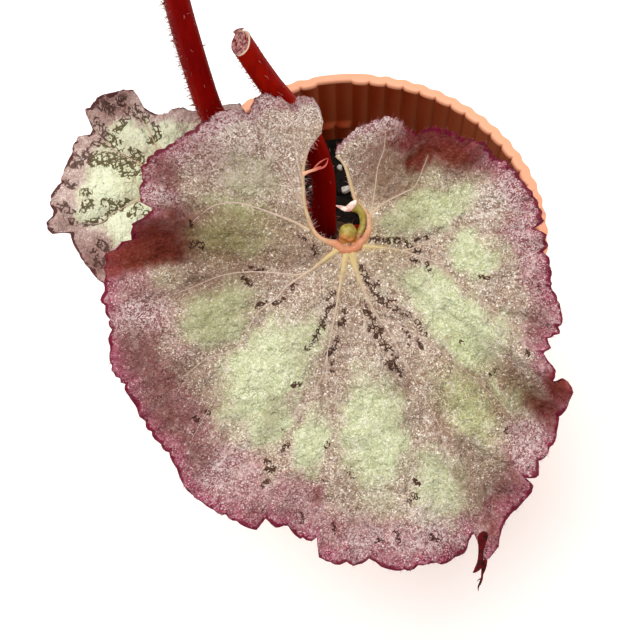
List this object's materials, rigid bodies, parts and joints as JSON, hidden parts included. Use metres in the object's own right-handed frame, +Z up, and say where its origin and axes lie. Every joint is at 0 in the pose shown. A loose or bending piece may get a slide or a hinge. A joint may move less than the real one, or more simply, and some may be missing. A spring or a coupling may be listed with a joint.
{
  "type": "potted begonia",
  "caption": "Painted-leaf begonia with silvery ruffled leaves on red stalks, growing from a creeping stem in a fluted terracotta-coloured plastic pot.",
  "frame": {"origin": "centre of the pot's flat underside", "axes": "+Z up, -Y towards the side that the big leaf faces, +X to the right seen from there"},
  "size_m": [0.13, 0.1461, 0.1922],
  "materials": {
    "pot_plastic": "satin moulded plastic",
    "soil": "dark peat with perlite grains",
    "rhizome": "scarred brown stem",
    "red_stalk": "fleshy and hairy",
    "silver_leaf": "silvery, with a fine glitter",
    "mint_leaf": "pale green with a dark net",
    "young_leaf": "silvery, with a fine glitter"
  },
  "bodies": {
    "root": {"pot": "pot_plastic", "soil": "soil", "rhizome": "rhizome", "main_petiole": "red_stalk", "left_petiole": "red_stalk", "tall_petiole": "red_stalk", "cut_petiole": "red_stalk", "main_leaf": "silver_leaf", "left_leaf": "mint_leaf", "tall_leaf": "young_leaf"}
  },
  "joints": []
}
